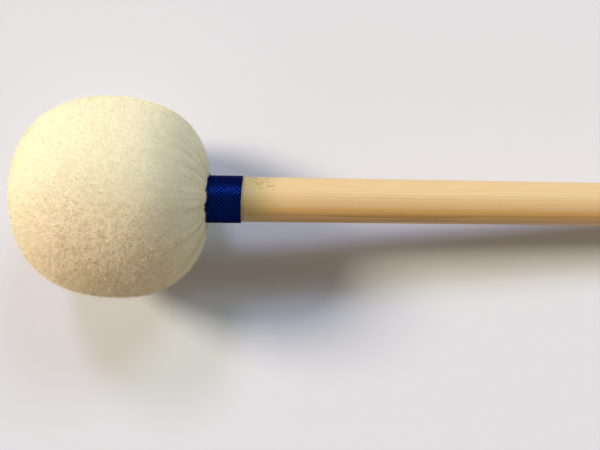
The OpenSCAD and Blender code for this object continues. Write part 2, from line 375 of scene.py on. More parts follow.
def remapped(tree, value, low, high, to_low=0.0, to_high=1.0):
    """The output of a smooth Map Range node."""
    return put(tree, "ShaderNodeMapRange", {"Value": value, "From Min": low, "From Max": high,
                                            "To Min": to_low, "To Max": to_high},
               interpolation_type="SMOOTHSTEP").outputs[0]


def here(tree):
    """Object coordinates."""
    return put(tree, "ShaderNodeTexCoord").outputs["Object"]


def mapped(tree, place, **change):
    """A place that is moved, turned or scaled by a Mapping node."""
    return put(tree, "ShaderNodeMapping", {"Vector": place, **change}).outputs[0]


def noisy(tree, place, scale, detail, **more):
    """The output of a Noise Texture."""
    return put(tree, "ShaderNodeTexNoise",
               {"Vector": place, "Scale": scale, "Detail": detail, **more}).outputs["Fac"]


def bumped(tree, height, strength, distance):
    """The normal from a Bump node."""
    return put(tree, "ShaderNodeBump",
               {"Height": height, "Strength": strength, "Distance": distance}).outputs[0]


def mixed(tree, share, a, b):
    """The output of a node that mixes two colours."""
    def full(c):
        return c if isinstance(c, bpy.types.NodeSocket) else (*c, 1)
    return put(tree, "ShaderNodeMix", {"Factor": share, "A": full(a), "B": full(b)},
               data_type="RGBA").outputs["Result"]


def dimmed(colour, share):
    """A darker shade of a colour."""
    return tuple(share * part for part in colour)


def new_material(name):
    """An empty material with its shader, as (material, node tree, shader)."""
    material = bpy.data.materials.new(name)
    material.use_nodes = True
    tree = material.node_tree
    return material, tree, tree.nodes["Principled BSDF"]


def fill(tree, shader, **inputs):
    """Links patterns to a shader's sockets, and sets plain numbers and colours on them."""
    for name, value in inputs.items():
        plain_colour = not isinstance(value, bpy.types.NodeSocket) and hasattr(value, "__len__")
        feed(tree, shader, {name.replace("_", " "): (*value, 1) if plain_colour else value})


def new_group(name, inputs, outputs):
    """A shader node group that puts out values, as (group, its inputs, its outputs' node)."""
    group = bpy.data.node_groups.new(name, "ShaderNodeTree")
    for label, kind, default in inputs:
        socket = group.interface.new_socket(label, in_out="INPUT", socket_type="NodeSocket" + kind)
        if default is not None:
            socket.default_value = default
    for label in outputs:
        group.interface.new_socket(label, in_out="OUTPUT", socket_type="NodeSocketFloat")
    return group, group.nodes.new("NodeGroupInput").outputs, group.nodes.new("NodeGroupOutput")


def use_group(tree, group, inputs):
    """Places a shared node group in a material."""
    return put(tree, "ShaderNodeGroup", inputs, node_tree=group).outputs


def grain_group():
    """Straight wood grain along X: rings, fine fibres, short dark pores, and heartwood from a depth on."""
    if "Straight Grain" in bpy.data.node_groups:
        return bpy.data.node_groups["Straight Grain"]
    group, given, out = new_group(
        "Straight Grain",
        [("Vector", "Vector", None), ("Ring Width", "Float", 0.002), ("Waver", "Float", 1.0),
         ("Heartwood", "Float", 0.008)],
        ("Rings", "Fibres", "Pores", "Near Heart", "Heart"))
    place = given["Vector"]

    def pattern(scale, detail, **more):
        return noisy(group, mapped(group, place, Scale=scale), 1, detail, **more)

    sway = times(group, minus(group, pattern((5, 90, 90), 3, Roughness=0.55), 0.5), given["Waver"])
    depth = minus(group, axes(group, place)["Y"], given["Heartwood"])
    rings = plus(group, maths(group, "DIVIDE", depth, given["Ring Width"]), times(group, sway, 2.4))
    late = maths(group, "POWER", maths(group, "FRACT", rings), 4)
    late = times(group, late, remapped(group, pattern((4, 300, 300), 2), 0.3, 0.62, 0.25, 1))
    fibres = pattern((60, 4200, 4200), 3, Roughness=0.6)
    pores = pattern((420, 3800, 3800), 1)
    feed(group, out, {"Rings": late, "Fibres": remapped(group, fibres, 0.3, 0.7),
                      "Pores": remapped(group, pores, 0.68, 0.76),
                      "Near Heart": remapped(group, rings, -3.5, -0.2),
                      "Heart": remapped(group, rings, -0.05, 0.15)})
    return group


def wool_group():
    """Matted wool: soft tufts, and the shaded gaps between them."""
    if "Matted Wool" in bpy.data.node_groups:
        return bpy.data.node_groups["Matted Wool"]
    group, given, out = new_group(
        "Matted Wool", [("Vector", "Vector", None), ("Tuft Size", "Float", 0.0012)], ("Gaps", "Height"))
    over = maths(group, "DIVIDE", 1.0, given["Tuft Size"])
    tufts = noisy(group, given["Vector"], over, 4, Roughness=0.62, Distortion=0.7)
    curls = noisy(group, given["Vector"], times(group, over, 2.7), 3, Roughness=0.6, Distortion=1.6)
    height = plus(group, times(group, tufts, 0.6), times(group, curls, 0.4))
    feed(group, out, {"Height": height, "Gaps": remapped(group, height, 0.53, 0.38)})
    return group


def along_the_wood(tree, roll):
    """Object coordinates, centred and turned so that X runs along the shaft."""
    level = mapped(tree, mapped(tree, here(tree), Location=tuple(-CENTRE)), Rotation=(0, -TILT, 0))
    return mapped(tree, level, Rotation=(roll, 0, 0))


def beside_the_ribbon(tree):
    """Masks for where the shaft comes out of the ribbon, as (darker stretch of painted shadow of the ball
    with some grime, short dark scuffs).
    """
    place = along_the_wood(tree, 0)
    parts = axes(tree, place)
    fine = mapped(tree, place, Scale=(470, 850, 850))
    specks = noisy(tree, fine, 1, 1)
    blots = put(tree, "ShaderNodeTexVoronoi", {"Vector": fine, "Scale": 1}).outputs["Distance"]
    # A darker, olive stretch beside the ribbon: painted shadow of the ball, partly grime
    shadow_and_grime = times(tree, remapped(tree, parts["X"], 0.066, 0.050), remapped(tree, specks, 0.2, 0.7, 0.7, 1.0))
    beside = times(tree, remapped(tree, parts["X"], 0.0505, 0.0535), remapped(tree, parts["X"], 0.064, 0.058))
    high = times(tree, remapped(tree, parts["Y"], 0.0015, 0.0055), remapped(tree, parts["Z"], 0.0, 0.002))
    return shadow_and_grime, times(tree, times(tree, beside, high), remapped(tree, blots, 0.5, 0.15))


def lacquered_wood(look):
    """The shaft: pale straight-grained wood with a streak of heartwood, faint rings and satin lacquer."""
    material, tree, shader = new_material("shaft_wood")
    grain = use_group(tree, grain_group(), {"Vector": along_the_wood(tree, math.radians(-140)), "Waver": 0.35,
                                            "Ring Width": look.ring_width, "Heartwood": look.heartwood})
    shadow_and_grime, scuffs = beside_the_ribbon(tree)
    faint = plus(tree, 0.32, times(tree, grain["Heart"], 0.5))
    brown = dimmed(look.honey, 0.62)
    colour = look.pale
    for mask, share, over in ((grain["Near Heart"], 0.3, look.tan), (grain["Heart"], 0.62, look.honey),
                              (grain["Rings"], faint, brown), (grain["Fibres"], 0.2, brown),
                              (grain["Pores"], 0.3, dimmed(look.honey, 0.35)), (shadow_and_grime, 0.65, look.shadow_and_grime),
                              (scuffs, 0.85, look.scuff)):
        colour = mixed(tree, times(tree, mask, share), colour, over)
    fill(tree, shader, Base_Color=colour, Roughness=plus(tree, 0.42, times(tree, grain["Fibres"], 0.1)),
         Normal=bumped(tree, grain["Fibres"], 0.12, 0.00005), Specular_IOR_Level=0.3, Coat_Weight=0.12,
         Coat_Roughness=0.3)
    return material


def plain_wood(name, colour, roll):
    """Turned wood without a finish, for the core and the pin."""
    material, tree, shader = new_material(name)
    grain = use_group(tree, grain_group(), {"Vector": along_the_wood(tree, roll), "Ring Width": 0.0016,
                                            "Waver": 1.4})
    mix = mixed(tree, times(tree, grain["Rings"], 0.7), colour, dimmed(colour, 0.55))
    mix = mixed(tree, times(tree, grain["Fibres"], 0.3), mix, dimmed(colour, 0.6))
    fill(tree, shader, Base_Color=mix, Roughness=plus(tree, 0.62, times(tree, grain["Fibres"], 0.15)),
         Normal=bumped(tree, grain["Fibres"], 0.3, 0.0001), Specular_IOR_Level=0.3)
    return material


def felted(name, colour, shade, tuft, depth, sheen):
    """Felt: a matt, fibrous surface with darker gaps between its tufts."""
    material, tree, shader = new_material(name)
    place = here(tree)
    woolly = use_group(tree, wool_group(), {"Vector": place, "Tuft Size": tuft})
    mix = mixed(tree, times(tree, noisy(tree, place, 70, 2), 0.22), colour, dimmed(colour, 0.86))
    mix = mixed(tree, times(tree, woolly["Gaps"], 0.55), mix, shade)
    fill(tree, shader, Base_Color=mix, Normal=bumped(tree, woolly["Height"], 0.8, depth), Roughness=0.95,
         Specular_IOR_Level=0.1, Sheen_Weight=sheen, Sheen_Roughness=0.6)
    return material


def shaded_side_share(tree, from_middle):
    """How far a place lies on the side of the ball where warm shade and dark flecks of shadow are painted."""
    return remapped(tree, vectors(tree, "DOT_PRODUCT", from_middle, SHADED_SIDE), 0.018, 0.038)


def flecked(tree, place, low, high):
    """A mask of the small dark flecks in the pile: painted shadows between its tufts."""
    return remapped(tree, noisy(tree, place, 1450, 2), low, high)


def streaked(tree, from_middle):
    """Streaks of painted shade along the folds that run to the neck, about 0.5, and how near the neck a place
    lies.
    """
    axis = scaled(tree, tuple(ALONG), vectors(tree, "DOT_PRODUCT", from_middle, tuple(ALONG)))
    outwards = vectors(tree, "NORMALIZE", vectors(tree, "SUBTRACT", from_middle, axis))
    away = vectors(tree, "DISTANCE", from_middle, tuple(ALONG * FOLDS_MEET))
    return noisy(tree, outwards, 13, 3), remapped(tree, away, 0.042, 0.014)


def fleece_skin(look):
    """The wool under the nap, with painted warm shade and dark flecks of painted shadow on one side of the
    ball, and streaks of painted shade along the folds towards the neck.
    """
    material, tree, shader = new_material("fleece")
    place = here(tree)
    woolly = use_group(tree, wool_group(), {"Vector": place, "Tuft Size": 0.0008})
    from_middle = mapped(tree, place, Location=tuple(-CENTRE))
    shaded_side = shaded_side_share(tree, from_middle)
    lines, near_neck = streaked(tree, from_middle)
    colour = mixed(tree, times(tree, noisy(tree, place, 70, 2), 0.2), look.colour, dimmed(look.colour, 0.86))
    # Painted warm shade: a tan colour on one side of the ball
    colour = mixed(tree, times(tree, maths(tree, "POWER", shaded_side, 0.6), 0.8), colour, look.painted_warm_shade)
    # Painted shadows: dark flecks between the tufts on that side
    flecks = times(tree, times(tree, shaded_side, flecked(tree, place, 0.48, 0.64)), 0.5)
    # Painted shade in streaks along the folds near the neck
    streaks = times(tree, near_neck, remapped(tree, lines, 0.45, 0.7, 0, 0.36))
    dark = plus(tree, plus(tree, flecks, times(tree, woolly["Gaps"], 0.2)), streaks, clamp=True)
    fill(tree, shader, Base_Color=mixed(tree, dark, colour, look.shade),
         Normal=bumped(tree, woolly["Height"], 0.5, 0.00015), Roughness=0.95, Specular_IOR_Level=0.1,
         Sheen_Weight=0.3, Sheen_Roughness=0.6)
    return material


def hair_material(name, colour):
    """One shade of the nap's hairs. The shades and the hairs' own lie make the pattern."""
    material, tree, shader = new_material(name)
    fill(tree, shader, Base_Color=colour, Roughness=0.75, Specular_IOR_Level=0.2, Sheen_Weight=0.5,
         Sheen_Roughness=0.5)
    return material


def satin(look):
    """Woven satin: fine threads along the ribbon, tied down on crossing slants that catch the light; the ties
    are painted a lighter blue as glints of its highlight.
    """
    material, tree, shader = new_material("ribbon_satin")
    place = put(tree, "ShaderNodeUVMap", uv_map="Weave").outputs[0]
    parts = axes(tree, place)
    loose = noisy(tree, place, 0.6, 2)
    along, across = parts["X"], plus(tree, parts["Y"], loose)

    def waves(value, step):
        return maths(tree, "SINE", times(tree, value, TURN / step))

    rising = remapped(tree, waves(plus(tree, along, across), 1.75), -0.2, 1.0)
    falling = remapped(tree, waves(minus(tree, along, across), 1.6), -0.2, 1.0)
    ties = plus(tree, rising, falling)
    height = plus(tree, ties, times(tree, waves(across, 0.24), 0.08))
    # Painted glints: the ties are a lighter blue wherever they lie
    glint_share = times(tree, remapped(tree, ties, 0.3, 1.7), remapped(tree, loose, 0.3, 0.7, 0.45, 1.0))
    painted_glint_blue = tuple(gain * part for gain, part in zip((6, 4.9, 4), look.ribbon))
    fill(tree, shader, Base_Color=mixed(tree, glint_share, look.ribbon, painted_glint_blue),
         Roughness=remapped(tree, ties, 0.2, 1.8, 0.52, 0.2), Normal=bumped(tree, height, 1.0, 0.00003),
         Metallic=0.8, IOR=1.15, Specular_IOR_Level=0.5, Specular_Tint=(0.05, 0.12, 0.45))
    return material


def waxed_thread(look):
    """Waxed thread, with the slanting lines of its plies."""
    material, tree, shader = new_material("thread")
    plies = noisy(tree, here(tree), 3200, 2, Distortion=0.6)
    fill(tree, shader, Base_Color=mixed(tree, plies, look.thread, dimmed(look.thread, 0.62)),
         Normal=bumped(tree, plies, 0.5, 0.00006), Roughness=0.45, Specular_IOR_Level=0.45)
    return material


# The pieces

def fold_list(look):
    """The gathers at the neck, unevenly spaced, as [angle, depth, width, reach from the neck]."""
    folds = []
    for i in range(look.folds):
        shift, deeper, longer = (noise.noise(Vector((1.7 * i + 0.3, 4.1 + 5.2 * k, 2.6))) for k in range(3))
        angle = TURN * (i + 0.5 + 0.9 * shift) / look.folds
        # The deepest folds are on the side that the photograph has at the bottom
        side = 0.5 - 0.5 * math.sin(angle)
        folds.append((angle, look.fold_depth * (0.4 + 0.6 * side + 0.4 * deeper), 0.06 + 0.04 * abs(shift),
                      0.6 + 0.25 * side + 0.3 * longer))
    return folds


def fold_at(folds, angle, share, wander):
    """How deep the folds lie at an angle, at a share of the way from the neck to the widest section."""
    depth = 0.0
    for centre, deep, width, reach in folds:
        away = abs((angle - centre - wander * share + math.pi) % TURN - math.pi)
        if away < 0.5 and share < reach:
            depth += deep * (1 - share / reach) ** 1.8 * math.exp(-away / (width * (1 + 1.5 * share)))
    return depth


def swelled(piece, pinned, most):
    """Lets Cloth blow the cover up a little between its folds, and keeps the result, capped and rounded."""
    scene = bpy.context.scene
    cloth = piece.modifiers.new("Swell", "CLOTH")
    settings = cloth.settings
    settings.quality = 6
    settings.mass = 0.0005
    settings.tension_stiffness = settings.compression_stiffness = 1
    settings.shear_stiffness = 0.5
    settings.bending_stiffness = 0.01
    settings.use_pressure = True
    settings.uniform_pressure_force = 400
    settings.vertex_group_mass = pinned
    settings.effector_weights.gravity = 0
    cloth.collision_settings.use_self_collision = False
    cloth.point_cache.frame_start, cloth.point_cache.frame_end = 1, 20
    for step in range(1, 21):
        scene.frame_set(step)
    seen = piece.evaluated_get(bpy.context.evaluated_depsgraph_get()).data
    places = [v.co.copy() for v in seen.vertices]
    piece.modifiers.remove(cloth)
    scene.frame_set(1)
    for vert, place in zip(piece.data.vertices, places):
        step = place - vert.co
        if step.length > most:
            step *= most / step.length
        # Cloth's last digits differ from run to run
        vert.co += Vector([round(part, 5) for part in step])


def cover_skin(look):
    """The outer face of the cover, from its front pole to its mouth, on the mallet's own axes."""
    steps, rings = 100, 52
    inner = (look.radius - look.nap_height - look.swell, look.nose - look.nap_height - 0.7 * look.swell,
             look.back - look.nap_height / 3 - 0.2 * look.swell)
    bm = bmesh.new()
    turned(bm, ball_outline(*inner, look, POCKET_R + 0.0006, rings), steps)
    tidy(bm)
    return bm


def outward(bm):
    """Turns the faces of an open skin away from the mallet's own centre."""
    face = max(bm.faces, key=lambda f: f.calc_center_median().length)
    if face.normal.dot(face.calc_center_median()) < 0:
        bmesh.ops.reverse_faces(bm, faces=bm.faces)


def in_fixed_order(bm):
    """The same shape with its faces in the order of their points, because bmesh lists them anew each run."""
    bm.verts.index_update()
    loops = []
    for face in bm.faces:
        loop = [vert.index for vert in face.verts]
        first = loop.index(min(loop))
        loops.append(loop[first:] + loop[:first])
    same = bmesh.new()
    verts = [same.verts.new(vert.co) for vert in bm.verts]
    for loop in sorted(loops):
        same.faces.new([verts[i] for i in loop])
    pile = bm.verts.layers.float.get("pile")
    if pile is not None:
        kept = same.verts.layers.float.new("pile")
        for vert, old in zip(same.verts, bm.verts):
            vert[kept] = old[pile]
    bm.free()
    return same


def make_cover(look):
    """The fleece cover: swelled by Cloth, gathered at the neck, pressed on the table, lined and hemmed."""
    folds = fold_list(look)
    bm = cover_skin(look)
    outward(bm)
    bm = in_fixed_order(bm)
    mesh = meshed("fleece_head", bm)
    skin = placed("fleece_head", mesh)
    pins = skin.vertex_groups.new(name="pinned")
    for vert in mesh.vertices:
        r, s = Vector(vert.co[:2]).length, vert.co.z
        share = max(0.0, min(1.0, (look.back - s) / look.back)) if s > 0 else 1.0
        on_fold = fold_at(folds, math.atan2(vert.co.y, vert.co.x), share, 0.25) / look.fold_depth
        weight = 1.0 if r < POCKET_R + 0.003 else max(0.0, min(1.0, 1.4 * on_fold))
        if weight > 0.02:
            pins.add([vert.index], weight, "REPLACE")
    swelled(skin, "pinned", 0.0006)
    skin.vertex_groups.clear()
    # The nap is sown by the order of the faces, which this modifier keeps the same each run
    finer = skin.modifiers.new("Finer", "SUBSURF")
    finer.levels = 2
    fine = bpy.data.meshes.new_from_object(skin.evaluated_get(bpy.context.evaluated_depsgraph_get()))
    bm = bmesh.new()
    bm.from_mesh(fine)
    bpy.data.objects.remove(skin)
    bpy.data.meshes.remove(mesh)
    bpy.data.meshes.remove(fine)
    bm.normal_update()
    shape_nap(bm, look, folds)
    pile = bm.verts.layers.float.new("pile")
    for vert in bm.verts:
        from_neck = (Vector(vert.co[:2]).length - POCKET_R) / 0.005
        vert[pile] = min(1.0, 0.4 + 0.6 * from_neck) if vert.co.z > 0 else 1.0
    line_and_hem(bm, look)
    tidy(bm)
    piece = new_piece("fleece_head", in_fixed_order(bm))
    press_on_table(piece)
    return piece


def shape_nap(bm, look, folds):
    """Presses in the folds, raises the tufts, and turns the ball a little against the shaft."""
    moves = {}
    for vert in bm.verts:
        place, normal = vert.co, vert.normal
        s, angle = place.z, math.atan2(place.y, place.x)
        share = max(0.0, min(1.0, 1 - s / look.back))
        wander = 0.25 + 0.2 * noise.noise(place * 60)
        depth = fold_at(folds, angle, share, wander) if s > 0 else 0.0
        round_neck = Vector((math.cos(angle) * 14, math.sin(angle) * 14, share * 1.2))
        creases = max(0.0, 0.75 - share) * abs(noise.noise(round_neck))
        r = Vector(place[:2]).length
        drawn = max(0.0, 1 - (r - POCKET_R) / 0.005) ** 2 if s > 0 else 0.0
        lumps = 0.00008 * noise.fractal(place * 140, 1.0, 2.0, 3)
        lumps += 0.00004 * noise.fractal(place * 900, 1.0, 2.0, 2)
        move = normal * (lumps - depth - 0.0005 * creases)
        move.z -= (0.0019 * (1 - math.sin(angle)) - 0.0006) * drawn
        moves[vert] = move
    bend = Matrix.Rotation(look.turn, 3, "X")
    for vert, move in moves.items():
        vert.co += move
        r = Vector(vert.co[:2]).length
        free = max(0.0, min(1.0, (r - POCKET_R) / 0.02)) if vert.co.z > 0 else 1.0
        free = free * free * (3 - 2 * free)
        turned_to = bend @ vert.co
        turned_to.y -= look.lean * vert.co.z / look.nose
        vert.co = vert.co.lerp(turned_to, free)


def line_and_hem(bm, look):
    """Draws the cover's mouth in under the ribbon as a hem, and back along the felt as its lining."""
    hollow = look.radius - look.thickness, look.nose - look.thickness, look.back - look.thickness
    inside = ball_outline(*hollow, look, SHAFT_R + GLUE, 30)[::-1]
    path = [(POCKET_R, MOUTH - 0.0012), (POCKET_R, RIBBON_START - GLUE), (HEM_OUTER, RIBBON_START - GLUE),
            (HEM_OUTER, HEM_END), (HEM_INNER, HEM_END), (HEM_INNER, NECK_START + GLUE)] + inside
    edges = [e for e in bm.edges if e.is_boundary]
    for radius, along in path:
        made = bmesh.ops.extrude_edge_only(bm, edges=edges)["geom"]
        edges = [g for g in made if isinstance(g, bmesh.types.BMEdge)]
        for vert in (g for g in made if isinstance(g, bmesh.types.BMVert)):
            vert.co = at(radius, math.atan2(vert.co.y, vert.co.x), along)
            vert[bm.verts.layers.float["pile"]] = 0.0


def press_on_table(piece):
    """Presses the pile flat where it meets the table."""
    for vert in piece.data.vertices:
        if vert.co.z < 0.0003:
            vert.co.z = 0.0003 + 0.1 * (vert.co.z - 0.0003)
            vert.co.z = max(vert.co.z, 0.0001)


def make_hairs(look, shades):
    """The four kinds of hair that the nap is sown with, each a tapered blade of three faces."""
    kinds = bpy.data.collections.new("nap_hairs")
    for i, (lift, sway, shade) in enumerate(zip((-0.2, -0.05, 0.2, 0.1), (0.35, -0.4, 0.15, -0.2), shades)):
        bm = bmesh.new()
        bmesh.ops.create_grid(bm, x_segments=1, y_segments=2, size=0.5)
        bmesh.ops.rotate(bm, verts=bm.verts, cent=(0, 0, 0), matrix=Matrix.Rotation(math.pi / 2, 3, "X"))
        bmesh.ops.translate(bm, verts=bm.verts, vec=(0, 0, 0.5))
        for vert in bm.verts:
            up = vert.co.z
            vert.co.x = look.nap_width * vert.co.x * (1 - up) + sway * look.nap_length * up * up
            vert.co.y = lift * look.nap_length * up * up
            vert.co.z = look.nap_length * up
        bmesh.ops.remove_doubles(bm, verts=bm.verts, dist=1e-7)
        mesh = meshed(f"hair_{i}", bm)
        mesh.materials.append(shade)
        kinds.objects.link(bpy.data.objects.new(f"hair_{i}", mesh))
    return kinds


def nap_nodes():
    """Geometry nodes that sow hairs on a skin, leaning in slow swirls and combed back from the neck."""
    tree = bpy.data.node_groups.new("Sown Nap", "GeometryNodeTree")
    for label, kind in (("Skin", "Geometry"), ("Hairs", "Collection"), ("Density", "Float"),
                        ("Lean", "Float"),
                        ("Shortest", "Float"), ("Longest", "Float"), ("Fineness", "Float"), ("Seed", "Int")):
        tree.interface.new_socket(label, in_out="INPUT", socket_type="NodeSocket" + kind)
    tree.interface.new_socket("Nap", in_out="OUTPUT", socket_type="NodeSocketGeometry")
    given = tree.nodes.new("NodeGroupInput").outputs
    out = tree.nodes.new("NodeGroupOutput")

    def random(kind, low, high, offset):
        made = put(tree, "FunctionNodeRandomValue", {"Seed": plus(tree, given["Seed"], offset)},
                   data_type=kind)
        ends = [i for i, socket in enumerate(made.inputs) if socket.enabled and socket.name in ("Min", "Max")]
        feed(tree, made, dict(zip(ends, (low, high))))
        return next(socket for socket in made.outputs if socket.enabled)

    def by_shaded_side(clean, more):
        return plus(tree, clean, times(tree, shaded_side, more))

    place = put(tree, "GeometryNodeInputPosition").outputs[0]
    pile = put(tree, "GeometryNodeInputNamedAttribute", {"Name": "pile"},
               data_type="FLOAT").outputs["Attribute"]
    tufts = noisy(tree, place, 1500, 1)
    from_middle = vectors(tree, "SUBTRACT", place, tuple(CENTRE))
    shaded_side = shaded_side_share(tree, from_middle)

    # The pile stays smooth, except on the side where the shade is painted
    def tufted(low, high):
        rough = minus(tree, remapped(tree, tufts, 0.35, 0.62, low, high), 1.0)
        return plus(tree, times(tree, shaded_side, rough), 1.0)

    thickness = times(tree, maths(tree, "GREATER_THAN", pile, 0.3), tufted(0.0, 1.6))
    sown = put(tree, "GeometryNodeDistributePointsOnFaces",
               {"Mesh": given["Skin"], "Density": times(tree, given["Density"], thickness),
                "Seed": given["Seed"]}, distribute_method="RANDOM").outputs

    # Which way each hair leans
    swirl = put(tree, "ShaderNodeTexNoise", {"Vector": place, "Scale": 160, "Detail": 2}).outputs["Color"]
    swirl = scaled(tree, vectors(tree, "SUBTRACT", swirl, (0.5, 0.5, 0.5)), by_shaded_side(1.0, 1.4))
    loose = scaled(tree, random("FLOAT_VECTOR", (-1, -1, -1), (1, 1, 1), 3), by_shaded_side(0.6, 0.4))
    from_neck = vectors(tree, "SUBTRACT", place, tuple(CENTRE + ALONG * FOLDS_MEET))
    combed = remapped(tree, vectors(tree, "LENGTH", from_neck), 0.012, 0.04, 2.2, 0.0)
    comb = scaled(tree, vectors(tree, "NORMALIZE", from_neck), combed)
    lean = scaled(tree, vectors(tree, "ADD", vectors(tree, "ADD", swirl, loose), comb), given["Lean"])
    way = vectors(tree, "ADD", sown["Normal"], lean)

    # Its flat side faces outwards, give or take a little roll
    stands = put(tree, "FunctionNodeAlignRotationToVector", {"Vector": way}, axis="Z").outputs[0]
    stands = put(tree, "FunctionNodeAlignRotationToVector", {"Rotation": stands, "Vector": sown["Normal"]},
                 axis="Y", pivot_axis="Z").outputs[0]
    roll = times(tree, random("FLOAT", -0.6, 0.6, 5), by_shaded_side(0.35, 0.65))
    roll = put(tree, "FunctionNodeAxisAngleToRotation", {"Axis": (0, 0, 1), "Angle": roll}).outputs[0]
    stands = put(tree, "FunctionNodeRotateRotation", {"Rotation": stands, "Rotate By": roll},
                 rotation_space="LOCAL").outputs[0]

    # Tufts: longer and shorter hairs by turns, and short ones round the neck
    length = times(tree, random("FLOAT", given["Shortest"], given["Longest"], 7),
                   times(tree, pile, tufted(0.5, 1.35)))
    width = times(tree, length, given["Fineness"])
    size = put(tree, "ShaderNodeCombineXYZ", {"X": width, "Y": length, "Z": length}).outputs[0]

    # Tan hairs as painted warm shade on that side, dark ones in flecks there as painted shadows, and darker
    # streaks of painted shade along the folds that run to the neck
    lines, near_neck = streaked(tree, from_middle)
    streaks = times(tree, minus(tree, lines, 0.5), times(tree, near_neck, by_shaded_side(1.2, 4)))
    tint = plus(tree, times(tree, maths(tree, "POWER", shaded_side, 0.6), 1.4), random("FLOAT", 0.0, 1.2, 9))
    shade = maths(tree, "MINIMUM", 2, maths(tree, "FLOOR", plus(tree, tint, 0.1)))
    flecks = times(tree, times(tree, shaded_side, flecked(tree, place, 0.46, 0.61)), 0.61)
    dark = plus(tree, plus(tree, flecks, streaks), random("FLOAT", 0.0, 0.6, 13))
    shade = maths(tree, "MAXIMUM", shade, times(tree, maths(tree, "GREATER_THAN", dark, 0.95), 3))
    kinds = put(tree, "GeometryNodeCollectionInfo", {"Collection": given["Hairs"], "Separate Children": True,
                                                    "Reset Children": True}).outputs[0]
    planted = put(tree, "GeometryNodeInstanceOnPoints",
                  {"Points": sown["Points"], "Instance": kinds, "Pick Instance": True,
                   "Instance Index": shade, "Rotation": stands, "Scale": size}).outputs[0]
    real = put(tree, "GeometryNodeRealizeInstances", {"Geometry": planted}).outputs[0]

    # No hair goes through the table
    parts = axes(tree, place)
    above = put(tree, "ShaderNodeCombineXYZ", {"X": parts["X"], "Y": parts["Y"],
                                               "Z": maths(tree, "MAXIMUM", parts["Z"], 0.0001)}).outputs[0]
    kept = put(tree, "GeometryNodeSetPosition", {"Geometry": real, "Position": above}).outputs[0]
    tree.links.new(kept, out.inputs[0])
    return tree


def sow(skin, tree, name, values):
    """A layer of nap on the skin, as a mesh of its own."""
    layer = skin.copy()
    layer.name = name
    bpy.context.scene.collection.objects.link(layer)
    sowing = layer.modifiers.new("Sown", "NODES")
    sowing.node_group = tree
    for item in tree.interface.items_tree:
        if item.in_out == "INPUT" and item.name in values:
            sowing[item.identifier] = values[item.name]
    seen = layer.evaluated_get(bpy.context.evaluated_depsgraph_get())
    mesh = bpy.data.meshes.new_from_object(seen)
    mesh.name = name
    layer.modifiers.clear()
    layer.data = mesh
    for key in list(layer.keys()):
        del layer[key]
    return layer


class MALLET_OT_wood(bpy.types.Operator):
    """Gives the shaft, the core and the pin their grain and finish"""

    bl_idname = "mallet.wood"
    bl_label = "Shaft, Core and Pin"

    def execute(self, context):
        look = context.scene.mallet_wood
        finishes = {"shaft": lacquered_wood(look),
                    "head_core": plain_wood("core_wood", tuple(look.core), 0.4),
                    "core_pin": plain_wood("pin_wood", tuple(look.pin), 1.1)}
        for name, material in finishes.items():
            slots = frame["nodes"][name].material_slots
            if not slots:
                raise RuntimeError(f"{name} has no material slot")
            for slot in slots:
                slot.material = material
        return {"FINISHED"}


